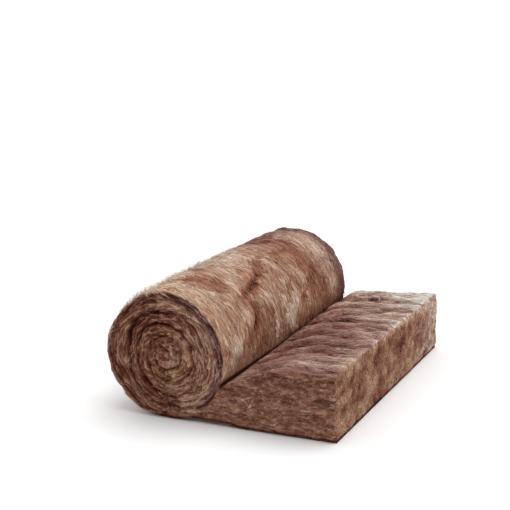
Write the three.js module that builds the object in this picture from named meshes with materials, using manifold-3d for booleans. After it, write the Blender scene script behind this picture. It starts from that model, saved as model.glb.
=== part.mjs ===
// A partly unrolled roll of mineral wool insulation, in millimetres, +Z up.
//
// It is one blanket of wool. Most of it is wound into a roll that lies on the floor along Y,
// and its outer end runs out flat along +X as a tail with a square cut end. In the roll the
// turns are squeezed thin and lie against each other, and they hang slack on the side away from
// the tail. In the tail the wool has sprung back to its full thickness. Beside the roll the tail
// is pressed down, and there the roll's surface dives into the nip and goes on inside as the
// seam between one turn and the next. Towards the back the roll is fuller and the nip is higher.
// Shallow folds cross the tail's top, from the roll to the cut end.
//
// The origin is on the floor, in the middle of the whole piece.

import * as THREE from "three";
import { mergeVertices } from "three/addons/utils/BufferGeometryUtils.js";
import Module from "manifold-3d";

// The blanket
const blanketWidth = 1200; // along Y, and so the length of the roll
const fullThickness = 246; // of the tail, where the wool has sprung back
const softEdge = 9; // rounding of the blanket's long edges
const cutEdge = 14; // rounding along the cut end, where the knife drags the fibres

// The roll
const rollRadius = 240;
const outerTurn = 52; // thickness of the outermost turn where the roll stands on it
const innerTurn = 34; // thickness that the turns near the core tend to
const turnFade = 0.82; // how much of the difference is left, one turn further in
const coreRadius = 20; // the crushed start of the blanket, where the seam ends
const seamGap = 2; // air between one turn and the next

// How a turn steps down over the one under it, in parts of a turn from the floor contact
const stepStart = 0.8;
const stepEnd = 1.04;
const stepFade = 0.55; // what is left of the step, one turn further in

// How much thicker the outermost turn is where it hangs slack
const slack = 26;
const slackTurn = 0.25; // where that is, in parts of a turn from the floor contact
const slackSpread = 0.1; // how far it spreads, in parts of a turn
const slackFade = 0.6; // what is left of the slack, one turn further in

// The tail
const tailReach = 672; // from the roll's axis to the cut end
const nipAngle = 68; // degrees round the roll, from its floor contact to the nip
const swellReach = 300; // from the nip to where the tail is at its full thickness
const swellSlope = 34; // degrees, of the tail's top beside the nip
const swellStart = 0.3; // how stiffly the swell leaves the nip, as a share of its reach
const swellEnd = 0.5; // and how stiffly it levels out

// The folds in the tail's top
const foldSpacing = 105; // from one valley to the next, along Y
const foldOffset = 72; // from the middle of the blanket's width to the nearest valley
const foldDepth = 12; // of the deepest valley, under the crests beside it
const foldVariety = 0.4; // how much less deep the shallowest valley is
const foldsInRound = 2.6; // from one of the deepest valleys to the next
const foldWander = 12; // how far a valley strays to each side on its way along X
const foldWave = 230; // length of one such stray and its return
const foldSettle = 3; // how far the crests lie under the even top
const foldFade = 100; // from where the folds start to where they have their whole depth
const foldAtCut = 0.5; // what is left of their depth at the cut end

// How the back end differs from the front
const backSwell = 6; // the roll's radius is this much greater
const backRise = 40; // the tail stands this much higher beside the roll
const lipReach = 12; // from the roll's surface to where the tail has that whole rise

// How finely curves are divided
const stepsPerTurn = 40;
const stepsInSwell = 9;
const stepsAcrossFold = 6;
const stepsOnLevel = 4;
const stepsInRounding = 3;
const stepsInSoftEdge = 2;
const stepsAlong = 6;

// Turns are counted from the floor contact, round the far side of the roll from the tail.
const nipTurn = 1 - nipAngle / 360;

const wasm = await Module();
wasm.setup();

const smooth = (t) => THREE.MathUtils.smootherstep(t, 0, 1);
const hump = (t) => Math.exp(-t * t);

// Thickness of a turn, counted inwards from the outermost.
const turnThickness = (k) =>
  innerTurn + (outerTurn - innerTurn) * turnFade ** k;

// Thickness that the turns up to this one take off the roll's radius. The outermost turn keeps
// the roll round until it steps down at the nip, and the turns inside it wind in more evenly.
function woundIn(turn) {
  let total = 0;
  for (let k = 0; k < turn; k++) {
    const share = Math.min(turn - k, 1);
    const stepped = smooth((turn - k - stepStart) / (stepEnd - stepStart));
    const stepShare = stepFade ** k;
    total +=
      turnThickness(k) * ((1 - stepShare) * share + stepShare * stepped);
  }
  for (let k = 1; k < turn; k++) {
    const fromSlack = (turn - k - slackTurn) / slackSpread;
    total += slack * slackFade ** (k - 1) * hump(fromSlack);
  }
  return total;
}

const radiusAt = (turn) => rollRadius - woundIn(turn);

// A point this far outside the wound surface, in the plane across the roll.
function woundPoint(turn, outside) {
  const angle = turn * 2 * Math.PI;
  const radius = radiusAt(turn) + outside;
  return new THREE.Vector2(
    -radius * Math.sin(angle),
    rollRadius - radius * Math.cos(angle),
  );
}

// How many turns the seam makes before it ends in the core.
function seamTurns() {
  let turn = 1;
  while (radiusAt(turn) > coreRadius) turn += 1 / stepsPerTurn;
  return turn;
}

function woundPoints(from, to, outside) {
  const steps = Math.ceil(Math.abs(to - from) * stepsPerTurn);
  const points = [];
  for (let i = 0; i <= steps; i++) {
    points.push(woundPoint(THREE.MathUtils.lerp(from, to, i / steps), outside));
  }
  return points;
}

// The tail's top: up from the nip until the wool has its full thickness.
function swellPoints(nip) {
  const rise = THREE.MathUtils.degToRad(swellSlope);
  const first = swellReach * swellStart;
  const full = new THREE.Vector2(nip.x + swellReach, fullThickness);
  const curve = new THREE.CubicBezierCurve(
    nip,
    new THREE.Vector2(
      nip.x + first * Math.cos(rise),
      nip.y + first * Math.sin(rise),
    ),
    new THREE.Vector2(full.x - swellReach * swellEnd, full.y),
    full,
  );
  return curve.getPoints(stepsInSwell);
}

// The blanket's section across the roll, as one outline that runs along the floor, round the
// roll, in along the seam to the core, back out on the seam's other side and along the tail.
function blanketOutline() {
  const turns = seamTurns();
  const points = [];
  points.push(...woundPoints(0, turns, 0));
  points.push(...woundPoints(turns, nipTurn, seamGap));
  const nip = points.pop();
  points.push(...swellPoints(nip));

  const outline = new THREE.Path(points);
  outline.lineTo(tailReach - cutEdge, fullThickness);
  outline.quadraticCurveTo(
    tailReach,
    fullThickness,
    tailReach,
    fullThickness - cutEdge,
  );
  outline.lineTo(tailReach, 0);
  return new THREE.Shape(outline.getPoints(stepsInRounding));
}

// Makes the roll fuller and the tail's lip higher, little by little towards the back end. The
// section grows about the floor contact, so that its underside stays flat on the floor.
function settleBack(geometry) {
  const nip = woundPoint(nipTurn, seamGap);
  const places = geometry.attributes.position;
  for (let i = 0; i < places.count; i++) {
    const x = places.getX(i);
    const height = places.getY(i);
    const back = smooth(1 - (places.getZ(i) + softEdge) / blanketWidth);
    const beside = back * (1 - smooth((x - nip.x) / swellReach));
    const growth = 1 + (beside * backSwell) / rollRadius;
    const offRoll = Math.hypot(x, height - rollRadius) - rollRadius - seamGap;
    const onLip = x > 0 ? smooth(offRoll / lipReach) * smooth(height / nip.y) : 0;
    places.setX(i, x * growth);
    places.setY(i, height * growth + beside * backRise * onLip);
  }
}

// How far the folded top lies under the even one, at a distance x from the roll's axis and y
// from the middle of the blanket's width: a little above it where the folds start, and then
// down into the valleys.
function foldDrop(x, y, start) {
  const grown = smooth((x - start) / foldFade);
  const ending = smooth((x - tailReach + foldFade) / foldFade);
  const outOfStep = 2 * y; // so that neighbouring valleys don't stray alike
  const stray = foldWander * Math.sin((2 * Math.PI * (x - outOfStep)) / foldWave);
  const folds = (y - foldOffset - stray) / foldSpacing;
  const valley = (1 + Math.cos(2 * Math.PI * folds)) / 2;
  const round = (2 * Math.PI * folds) / foldsInRound;
  const shallower = (foldVariety * (1 - Math.cos(round))) / 2;
  const depth = foldDepth * (1 - shallower) * (1 - (1 - foldAtCut) * ending);
  return grown * (2 * foldSettle + depth * valley) - foldSettle;
}

// The air over the tail, whose underside is the tail's folded top.
function airOverTail() {
  const [, first, ...swell] = swellPoints(woundPoint(nipTurn, seamGap));
  const full = swell[swell.length - 1];
  const beyond = tailReach + cutEdge;
  const ceiling = fullThickness + 2 * foldDepth + backRise;
  const outline = [first, ...swell];
  for (let i = 1; i <= stepsOnLevel; i++) {
    const x = THREE.MathUtils.lerp(full.x, beyond, i / stepsOnLevel);
    outline.push(new THREE.Vector2(x, fullThickness));
  }
  outline.push(new THREE.Vector2(beyond, ceiling));
  outline.push(new THREE.Vector2(first.x, ceiling));

  const folds = Math.ceil(blanketWidth / foldSpacing) + 1;
  const width = folds * foldSpacing;
  const geometry = new THREE.ExtrudeGeometry(new THREE.Shape(outline), {
    depth: width,
    steps: folds * stepsAcrossFold,
    bevelEnabled: false,
  });
  const middle = blanketWidth / 2 - softEdge;
  geometry.translate(0, 0, middle - width / 2);
  const places = geometry.attributes.position;
  for (let i = 0; i < places.count; i++) {
    const height = places.getY(i);
    if (height > fullThickness + foldDepth) continue;
    const drop = foldDrop(places.getX(i), middle - places.getZ(i), first.x);
    places.setY(i, height - drop);
  }
  return geometry;
}

function toSolid(geometry) {
  geometry.deleteAttribute("normal");
  geometry.deleteAttribute("uv");
  const merged = mergeVertices(geometry);
  const vertProperties = merged.attributes.position.array;
  const triVerts = new Uint32Array(merged.index.array);
  return new wasm.Manifold(new wasm.Mesh({ numProp: 3, vertProperties, triVerts }));
}

function toGeometry(solid) {
  const { vertProperties, triVerts } = solid.getMesh();
  const geometry = new THREE.BufferGeometry();
  geometry.setAttribute("position", new THREE.BufferAttribute(vertProperties, 3));
  geometry.setIndex(new THREE.BufferAttribute(triVerts, 1));
  return geometry;
}

function evenBlanket() {
  return new THREE.ExtrudeGeometry(blanketOutline(), {
    depth: blanketWidth - 2 * softEdge,
    steps: stepsAlong,
    curveSegments: stepsInRounding,
    bevelThickness: softEdge,
    bevelSize: softEdge,
    bevelOffset: -softEdge,
    bevelSegments: stepsInSoftEdge,
  });
}

function woolBlanket() {
  const even = evenBlanket();
  const air = airOverTail();
  settleBack(even);
  settleBack(air);
  const geometry = toGeometry(toSolid(even).subtract(toSolid(air)));
  geometry.computeVertexNormals();
  geometry.computeBoundingBox();
  const wool = new THREE.MeshStandardMaterial({
    color: 0x6f5044,
    roughness: 0.95,
    metalness: 0,
  });
  const mesh = new THREE.Mesh(geometry, wool);
  mesh.name = "wool_blanket";
  return mesh;
}

// The section is drawn with its Y up, and extruded along its Z.
const roll = new THREE.Group();
const blanket = woolBlanket();
const middle = blanket.geometry.boundingBox.getCenter(new THREE.Vector3());
blanket.rotation.x = Math.PI / 2;
blanket.position.set(-middle.x, middle.z, 0);
roll.add(blanket);

export default roll;
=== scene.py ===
"""A partly unrolled roll of brown mineral wool, lying on a pale floor.

The blanket is one closed piece of sprung wool over the plain CAD solid, sculpted in code:
turns and seams on the two ends, pillows and streaks on the roll, wrinkles on the tail.
Loose tufts of fibre lie on it, combed along the way the wool was laid.
"""

import math
from typing import NamedTuple

import bmesh
import bpy
import numpy as np
from bpy.props import FloatProperty, FloatVectorProperty, IntProperty, PointerProperty
from mathutils import Matrix, Vector, noise
from mathutils.bvhtree import BVHTree
from mathutils.geometry import interpolate_bezier


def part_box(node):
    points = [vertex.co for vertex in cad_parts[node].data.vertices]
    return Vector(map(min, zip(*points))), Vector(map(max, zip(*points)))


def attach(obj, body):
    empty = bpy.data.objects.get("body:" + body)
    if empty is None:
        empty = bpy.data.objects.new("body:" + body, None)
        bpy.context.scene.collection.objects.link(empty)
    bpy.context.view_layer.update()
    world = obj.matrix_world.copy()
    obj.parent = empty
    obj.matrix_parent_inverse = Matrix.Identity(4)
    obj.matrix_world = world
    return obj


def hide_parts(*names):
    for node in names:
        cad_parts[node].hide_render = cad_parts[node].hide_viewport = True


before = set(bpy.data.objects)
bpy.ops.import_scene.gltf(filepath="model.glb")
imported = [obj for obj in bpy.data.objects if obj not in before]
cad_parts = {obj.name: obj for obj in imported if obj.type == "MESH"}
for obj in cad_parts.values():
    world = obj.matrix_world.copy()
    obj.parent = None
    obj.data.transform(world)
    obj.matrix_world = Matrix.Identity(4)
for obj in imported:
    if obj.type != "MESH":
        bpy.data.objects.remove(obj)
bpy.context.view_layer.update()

bl_info = {
    "name": "Mineral Wool Roll",
    "version": (1, 0, 0),
    "blender": (4, 5, 0),
    "location": "View3D > Sidebar > Wool Roll",
    "description": "Sprung wool, loose tufts and a studio stage for a partly unrolled insulation roll",
    "category": "Object",
}

NODE = "wool_blanket"
BODY = "root"

NODE_LOW, NODE_HIGH = (Vector(corner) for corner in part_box(NODE))
BACK_SWELL = 0.006  # how much greater the roll's radius is at its back end
BACK_RISE = 0.040  # how much higher the tail stands beside the roll there
LIP_REACH = 0.012  # from the roll's surface to where the tail has that whole rise
ROLL_RADIUS = (NODE_HIGH.z - NODE_LOW.z) / 2 - BACK_SWELL
AXIS_X = NODE_LOW.x + ROLL_RADIUS + BACK_SWELL
CUT_X = NODE_HIGH.x
HALF_WIDTH = (NODE_HIGH.y - NODE_LOW.y) / 2
TURN_LENGTH = 2 * math.pi * ROLL_RADIUS

# How the blanket winds in, as in the CAD solid: how thick its turns are, in what part of a turn
# one turn steps down over the one under it, and how the turns hang slack on the far side.
OUTER_TURN = 0.052
INNER_TURN = 0.034
TURN_FADE = 0.82
STEP_START = 0.8
STEP_END = 1.04
STEP_FADE = 0.55
SLACK = 0.026
SLACK_TURN = 0.25
SLACK_SPREAD = 0.1
SLACK_FADE = 0.6
MOST_TURNS = 6

# The tail's top beside the roll: from the nip to where the tail is at its full thickness, and
# how stiffly it leaves the nip and levels out, as shares of that reach.
SWELL_REACH = 0.3
SWELL_START = 0.3
SWELL_END = 0.5
SWELL_POWER = 2.3  # the power by which its height falls off towards the nip

# The folds that cross the tail's top from the roll to the cut end, as in the CAD solid.
TAIL_REACH = CUT_X - AXIS_X
FOLD_START = 0.2493
FOLD_SPACING = 0.105
FOLD_OFFSET = 0.072
FOLD_DEPTH = 0.012
FOLD_VARIETY = 0.4
FOLDS_IN_ROUND = 2.6
FOLD_WANDER = 0.012
FOLD_WAVE = 0.23
FOLD_SETTLE = 0.003
FOLD_FADE = 0.1
FOLD_AT_CUT = 0.5

# The nip between the roll and the tail, in parts of a turn from the floor contact, and how far
# on from it the notch runs that the two leave between them.
NIP_TURN = 1 - 68 / 360
NOTCH_TURN = 14 / 360

# Where something happens round the roll, in turns too, and how far it spreads.
STANDING = (0.405, 0.05)  # the fibres stand up, towards the front end
FLAT = (0.385, 0.07)  # the roll is flat, at its front end
# a painted highlight along the roll's crest, as if backlit fibres caught the light there
PAINTED_CREST_HIGHLIGHT = (0.43, 0.07)
MAUVE_TOP = (0.44, 0.075)  # towards the back end
DARK_TOP = (0.46, 0.13)  # of the roll's ends
SLACK_SEAM = (1.27, 0.13)
GAPING_SEAM = (1.20, 0.05)
SHUT_SEAM = (0.95, 0.09)

# Creases that the pack left on the roll: how deep each is, and its places round the roll, from
# the floor contact, and along Y. The wool bulges to the right of the way that it runs.
ROLL_CREASES = (
    (1.0, ((0.86, -0.06), (0.905, -0.115), (0.932, -0.153), (0.946, -0.219), (0.957, -0.320))),
    (0.8, ((1.000, -0.270), (1.049, -0.292), (1.082, -0.330), (1.120, -0.380))),
    (0.4, ((0.800, 0.090), (0.850, 0.127), (0.860, 0.206), (0.870, 0.320))),
    (0.7, ((0.30, 0.25), (0.36, 0.12), (0.45, 0.08))),
    (0.7, ((0.50, -0.30), (0.57, -0.22), (0.60, -0.10))),
)
# Wrinkles in the valleys of the tail's folds, along X and Y.
TAIL_CREASES = (
    (1.0, ((0.140, 0.066), (0.229, 0.084), (0.301, 0.064), (0.390, 0.062), (0.440, 0.090))),
    (0.9, ((0.060, 0.298), (0.152, 0.290), (0.230, 0.284), (0.300, 0.268))),
    (0.8, ((0.225, -0.242), (0.300, -0.234), (0.378, -0.254))),
    (0.7, ((0.190, 0.189), (0.290, 0.167), (0.400, 0.186))),
    (0.7, ((0.120, -0.148), (0.220, -0.132), (0.330, -0.142))),
    (0.7, ((0.260, 0.376), (0.350, 0.393), (0.430, 0.392))),
)

SEED_STEP = 17.31  # moves one noise pattern clear of the next
NOISE_GAIN = 1.6  # brings plain noise to about -1 to 1, and the next does so for fractal noise
FRACTAL_GAIN = 1.3
FRACTAL_FADE = 0.9  # how fast its finer octaves weaken
FRACTAL_STEP = 2.1  # how much finer each of them is
ROLL_STEPS = 90  # in the roll's outline
SWELL_STEPS = 12  # in the outline of the tail's swell
ROLL_SKIN = 0.006  # how far outside the roll's radius a place may lie and still be the roll's
SLIP = 0.008  # how far the turns inside the roll slipped from their even places
LIP_CLOSING = 0.08  # from the lip to where the tail isn't drawn to the roll any more

# A shade says how pale, how rusty and how golden the wool is. Below 0, rusty is mauve.
LEAST_SHADE = (-0.15, -1, 0)
UNDERSIDE_SHADE = (0.4, 0.1, 0.2)
ROLL_PALEST = 0.80
TOP_PALEST = 0.86
END_PALEST = 0.74
CUT_PALEST = 0.72
GRAIN_SCALE = (11, 130, 130)  # how fine the grain is along the fibres and across them, per metre


def metres(name, description, default):
    return FloatProperty(name=name, description=description, default=default, unit="LENGTH")


def degrees(name, description, default):
    return FloatProperty(
        name=name, description=description, default=math.radians(default), subtype="ANGLE"
    )


def colour(name, description, default):
    return FloatVectorProperty(
        name=name, description=description, default=default, size=3, subtype="COLOR", min=0, max=1
    )


class WoolShape(bpy.types.PropertyGroup):
    tail_thickness: metres("Tail thickness", "Thickness of the tail where it has sprung back", 0.246)
    swell_slope: degrees("Swell slope", "Slope of the tail's top beside the nip", 34)
    notch: metres("Notch", "Width of the nip as it is meshed", 0.020)
    nip_gap: metres("Nip gap", "Width of the dark gap left in the nip", 0.008)
    pitch: metres("Pitch", "Spacing of the mesh; the cut sides have half of it", 0.0086)
    lumps: metres("Lumps", "Height of the broad lumps in the wool", 0.007)
    pillows: metres("Pillows", "Height of the soft pillows on the outside of the roll", 0.009)
    creases: metres("Creases", "Depth of the creases that the pack left", 0.012)
    streaks: metres("Streaks", "Height of the streaks combed along the blanket", 0.003)
    wrinkles: metres("Wrinkles", "Height of the wrinkles on the tail's top", 0.007)
    crinkle: metres("Crinkle", "How far the laid fibres wander from their even places", 0.005)
    rings: metres("Rings", "Height of the fine laminations on the roll's ends", 0.005)
    seam_depth: metres("Seam depth", "Depth of the open seam between turns on the ends", 0.030)
    seam_width: metres("Seam width", "Half width of that seam", 0.006)
    telescoping: metres("Telescoping", "How far turns stand in or out of the roll's ends", 0.009)
    torn: metres("Torn", "Roughness of the cut end", 0.0045)
    tuck: metres("Tuck", "How far the blanket's lower edges are drawn in under it", 0.009)
    flat: metres("Flat", "Depth of the flat at the top of the roll's front end", 0.010)


class TuftSizes(bpy.types.PropertyGroup):
    length: metres("Length", "Usual length of a tuft", 0.040)
    width: metres("Width", "Usual width of a tuft", 0.0045)
    stray_lift: metres("Stray lift", "How far stray fibres stand off the wool", 0.010)
    density: FloatProperty(name="Density", description="Share of the tufts that are laid", default=1.0)
    seed: IntProperty(name="Seed", description="Start of the random layout", default=7)


class WoolColours(bpy.types.PropertyGroup):
    # Painted shade: the darkest stop, reached in the seams on the ends, in the nip and at the foot of
    # the blanket.
    hollow_shade: colour("Hollow", "Wool deep in a seam", (0.066, 0.016, 0.009))
    dark: colour("Dark", "Shaded purple-brown wool", (0.172, 0.062, 0.049))
    middle: colour("Middle", "Most of the wool", (0.295, 0.151, 0.116))
    light: colour("Light", "Combed wool on the outside", (0.445, 0.284, 0.216))
    pale: colour("Pale", "Fibres that catch the light", (0.720, 0.620, 0.555))
    # Rust is also the hue of the painted shade in the creases and in the nip.
    rust: colour("Rust", "Reddish wool in creases", (0.272, 0.112, 0.064))
    mauve: colour("Mauve", "Greyish wool on the tail and the roll's rims", (0.262, 0.178, 0.152))
    gold: colour("Gold", "Golden wool with fresh binder", (0.307, 0.145, 0.072))


class StageSettings(bpy.types.PropertyGroup):
    floor: colour("Floor", "Pale floor, as it lights the wool", (0.55, 0.55, 0.55))
    floor_seen: colour("Floor seen", "Pale floor, as the camera sees it", (0.75, 0.75, 0.75))
    camera_place: FloatVectorProperty(
        name="Camera place", description="Where the camera stands",
        default=(AXIS_X + 1.9393, -3.7898, 1.4212), size=3, unit="LENGTH",
    )
    camera_turn: degrees("Camera turn", "Turn of the view from straight along the roll", 26.04)
    camera_drop: degrees("Camera drop", "How steeply the camera looks down", 12.33)
    camera_roll: degrees("Camera roll", "Lean of the camera", -1.65)
    lens: FloatProperty(name="Lens", description="Focal length in millimetres", default=75.13)


# Small helpers on arrays of points


def smooth(value):
    """Smoother step, as in the CAD solid's seam."""
    t = np.clip(value, 0, 1)
    return t * t * t * (t * (t * 6 - 15) + 10)


def ramp(value, low, high):
    return smooth((value - low) / (high - low))


def bump(value, middle, reach):
    return np.exp(-(((value - middle) / reach) ** 2))


def pattern(points, size, seed, octaves=1):
    """Soft noise from about -1 to 1 whose patches have this size along each coordinate."""
    places = (points / np.array(size) + SEED_STEP * seed).tolist()
    if octaves == 1:
        return np.array([noise.noise(p) for p in places]) * NOISE_GAIN
    fractal = [noise.fractal(p, FRACTAL_FADE, FRACTAL_STEP, octaves) for p in places]
    return np.array(fractal) * FRACTAL_GAIN


def cell_edges(points, size, seed):
    """0 on the borders of irregular cells of this size and 1 inside them."""
    places = (points / np.array(size) + SEED_STEP * seed).tolist()
    gaps = np.empty(len(places))
    for i, place in enumerate(places):
        near = noise.voronoi(place)[0]
        gaps[i] = near[1] - near[0]
    return ramp(gaps, 0.0, 0.30)


def radius_at(turn):
    """Radius of the wound surface after this many turns from the floor contact."""
    radius = np.full_like(turn, ROLL_RADIUS)
    for k in range(MOST_TURNS):
        step_share = STEP_FADE**k
        share = np.clip(turn - k, 0, 1)
        stepped = ramp(turn - k, STEP_START, STEP_END)
        thickness = INNER_TURN + (OUTER_TURN - INNER_TURN) * TURN_FADE**k
        radius -= thickness * ((1 - step_share) * share + step_share * stepped)
    for k in range(1, MOST_TURNS):
        slack = SLACK * SLACK_FADE ** (k - 1) * bump(turn - k, SLACK_TURN, SLACK_SPREAD)
        radius -= np.where(turn > k, slack, 0)
    return radius


def on_roll(turn, radius):
    """X from the roll's axis and Z of a place on the roll, before its back end swells."""
    angle = 2 * math.pi * turn
    return -radius * np.sin(angle), ROLL_RADIUS - radius * np.cos(angle)


def settle_back(points):
    """How far the fuller back end moves each point from the even section, as in the CAD solid."""
    nip_x, nip_z = on_roll(NIP_TURN, ROLL_RADIUS)
    x, z = points[:, 0] - AXIS_X, points[:, 2]
    beside = toward_back(points) * (1 - smooth((x - nip_x) / SWELL_REACH))
    growth = beside * BACK_SWELL / ROLL_RADIUS
    off_roll = np.hypot(x, z - ROLL_RADIUS) - ROLL_RADIUS
    on_lip = smooth(off_roll / LIP_REACH) * smooth(z / nip_z) * (x > 0)
    return np.column_stack([x * growth, np.zeros(len(x)), z * growth + beside * BACK_RISE * on_lip])


def fold_drop(points):
    """How far the folds take the tail's top down, and how deep in a valley that is, as a share."""
    x, y = points[:, 0] - AXIS_X, points[:, 1]
    grown = smooth((x - FOLD_START) / FOLD_FADE)
    ending = smooth((x - TAIL_REACH + FOLD_FADE) / FOLD_FADE)
    stray = FOLD_WANDER * np.sin(2 * math.pi * (x - 2 * y) / FOLD_WAVE)
    folds = (y - FOLD_OFFSET - stray) / FOLD_SPACING
    valley = (1 + np.cos(2 * math.pi * folds)) / 2
    shallower = FOLD_VARIETY * (1 - np.cos(2 * math.pi * folds / FOLDS_IN_ROUND)) / 2
    depth = FOLD_DEPTH * (1 - shallower) * (1 - (1 - FOLD_AT_CUT) * ending)
    drop = np.maximum(grown * (2 * FOLD_SETTLE + depth * valley) - FOLD_SETTLE, 0)
    return drop, valley * grown * (1 - shallower)


def toward_back(points):
    return smooth((points[:, 1] + HALF_WIDTH) / (2 * HALF_WIDTH))


class WoundPlaces:
    """Where each point lies in the unwound blanket: how far along it, and how deep in it."""

    def __init__(self, points, shape):
        x, z = points[:, 0] - AXIS_X, points[:, 2] - ROLL_RADIUS
        self.part = np.arctan2(-x, -z) / (2 * math.pi) % 1
        self.rim = np.hypot(x, z)
        self.crinkle = crinkle_at(points) * shape.crinkle
        radius = self.rim + self.slip(points)
        seams = np.array([radius_at(self.part + k) for k in range(MOST_TURNS + 1)])
        past_nip = self.part > NIP_TURN
        outside = self.rim > ROLL_RADIUS + ROLL_SKIN
        self.tail = (x > 0) & (outside | past_nip & (radius > seams[0]))
        self.layer = (radius < seams[1:]).sum(0) + 0.0
        gaps = np.abs(radius - seams)
        gaps[0][~past_nip] = 1.0
        self.seam_gap = gaps.min(0)
        outer = np.take_along_axis(seams, self.layer.astype(int)[None], 0)[0]
        self.turn = self.layer + self.part
        along = np.where(self.tail, -x, self.turn * TURN_LENGTH)
        depth = np.where(self.tail, points[:, 2], outer - radius)
        self.fibre = np.column_stack([along, points[:, 1], depth])
        level = np.zeros(len(x))
        self.outward = np.column_stack([x, level, z]) / np.maximum(self.rim, 1e-6)[:, None]
        self.round = np.column_stack([-self.outward[:, 2], level, self.outward[:, 0]])
        self.inward = np.where(self.tail[:, None], np.array([0, 0, 1.0]), -self.outward)
        self.room = self.off_notch(x, points[:, 2], shape.notch)

    def slip(self, points):
        """How far the turns inside the rim lie from their even places, as they slipped."""
        inner = ramp(self.rim, 0, 0.12) * (1 - ramp(self.rim, ROLL_RADIUS - 0.045, ROLL_RADIUS))
        return inner * (SLIP * pattern(points, (0.13, 0.6, 0.13), 40) + self.crinkle)

    def off_notch(self, x, z, width):
        """Distance from the notch between the roll and the tail, in the plane across the roll."""
        reach = np.clip((self.part - NIP_TURN) / NOTCH_TURN, 0, 1)
        half = width / 2 * (1 - reach)
        notch_x, notch_z = on_roll(NIP_TURN + reach * NOTCH_TURN, ROLL_RADIUS + half)
        return np.maximum(np.hypot(x - notch_x, z - notch_z) - half, 0)


def crinkle_at(points):
    """How the laid fibres wander, from about -1 to 1. The tufts bend by it as well."""
    return 0.6 * pattern(points, (0.034,) * 3, 13) + 0.5 * pattern(points, (0.015,) * 3, 43)


# The wool blanket


def placed(name, data):
    """A new object of the scene."""
    piece = bpy.data.objects.new(name, data)
    bpy.context.scene.collection.objects.link(piece)
    return piece


def piece_of(bm, name):
    """A new object of the scene whose mesh is the finished bmesh."""
    mesh = bpy.data.meshes.new(name)
    bm.to_mesh(mesh)
    bm.free()
    return placed(name, mesh)


def blanket_outline(bm, shape):
    """The section's outline at the front end: round the roll to the nip, and along the tail."""
    front = -HALF_WIDTH
    start = bm.verts.new((AXIS_X, front, 0))
    round_roll = bmesh.ops.spin(
        bm, geom=[start], cent=(AXIS_X, front, ROLL_RADIUS), axis=(0, 1, 0),
        angle=2 * math.pi * (NIP_TURN + NOTCH_TURN), steps=ROLL_STEPS, use_merge=False,
    )
    last = [g for g in round_roll["geom_last"] if isinstance(g, bmesh.types.BMVert)][0]
    lip_x, lip_z = on_roll(NIP_TURN, ROLL_RADIUS + shape.notch)
    lip = Vector((AXIS_X + lip_x, front, lip_z))
    rise = Vector((math.cos(shape.swell_slope), 0, math.sin(shape.swell_slope)))
    full = Vector((lip.x + SWELL_REACH, front, shape.tail_thickness))
    level = Vector((SWELL_REACH * SWELL_END, 0, 0))
    start_handle = lip + rise * SWELL_REACH * SWELL_START
    swell = interpolate_bezier(lip, start_handle, full - level, full, SWELL_STEPS)
    for corner in (*swell, (CUT_X, front, shape.tail_thickness), (CUT_X, front, 0)):
        vert = bm.verts.new(corner)
        bm.edges.new((last, vert))
        last = vert
    bm.edges.new((last, start))


def plain_blanket(shape):
    """The blanket as one smooth closed body, meshed evenly, with finer faces on its cut sides."""
    bm = bmesh.new()
    blanket_outline(bm, shape)
    bmesh.ops.contextual_create(bm, geom=bm.edges[:])
    grown = bmesh.ops.extrude_face_region(bm, geom=bm.faces[:])
    moved = [g for g in grown["geom"] if isinstance(g, bmesh.types.BMVert)]
    bmesh.ops.translate(bm, verts=moved, vec=(0, 2 * HALF_WIDTH, 0))
    bmesh.ops.recalc_face_normals(bm, faces=bm.faces[:])
    body = piece_of(bm, "sprung_wool")
    coarse = body.data
    remesh = body.modifiers.new("Even mesh", "REMESH")
    remesh.mode = "VOXEL"
    remesh.voxel_size = shape.pitch
    evened = bpy.data.meshes.new_from_object(
        body.evaluated_get(bpy.context.evaluated_depsgraph_get())
    )
    body.modifiers.clear()
    body.data = evened
    bpy.data.meshes.remove(coarse)
    evened.name = "sprung_wool"
    refine_cut_sides(evened, shape.pitch)
    return body


def refine_cut_sides(mesh, pitch):
    """Halves the faces of the ends and the cut end, and evens the whole mesh a little."""
    bm = bmesh.new()
    bm.from_mesh(mesh)
    fine = set()
    for face in bm.faces:
        middle = face.calc_center_median()
        if abs(middle.y) > HALF_WIDTH - pitch or middle.x > CUT_X - pitch:
            fine.update(face.edges)
    bmesh.ops.subdivide_edges(bm, edges=list(fine), cuts=1, use_grid_fill=True)
    bmesh.ops.smooth_vert(
        bm, verts=bm.verts[:], factor=0.5, use_axis_x=True, use_axis_y=True, use_axis_z=True
    )
    bm.to_mesh(mesh)
    bm.free()


def mesh_points(mesh):
    points = np.empty(len(mesh.vertices) * 3)
    mesh.vertices.foreach_get("co", points)
    normals = np.empty(len(mesh.vertices) * 3)
    mesh.vertex_normals.foreach_get("vector", normals)
    return points.reshape(-1, 3), normals.reshape(-1, 3)


class WoolSides:
    """How much each point belongs to each side of the blanket, from 0 to 1."""

    def __init__(self, points, normals, wound):
        self.end = ramp(np.abs(normals[:, 1]), 0.45, 0.95)
        self.cut = ramp(normals[:, 0], 0.5, 0.95) * (points[:, 0] > CUT_X - 0.06)
        self.floor = ramp(-normals[:, 2], 0.5, 0.95) * (points[:, 2] < 0.02)
        self.long = (1 - self.end) * (1 - self.cut) * (1 - self.floor)
        self.top = self.long * wound.tail
        self.roll = self.long * ~wound.tail
        self.front = points[:, 1] < 0


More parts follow.
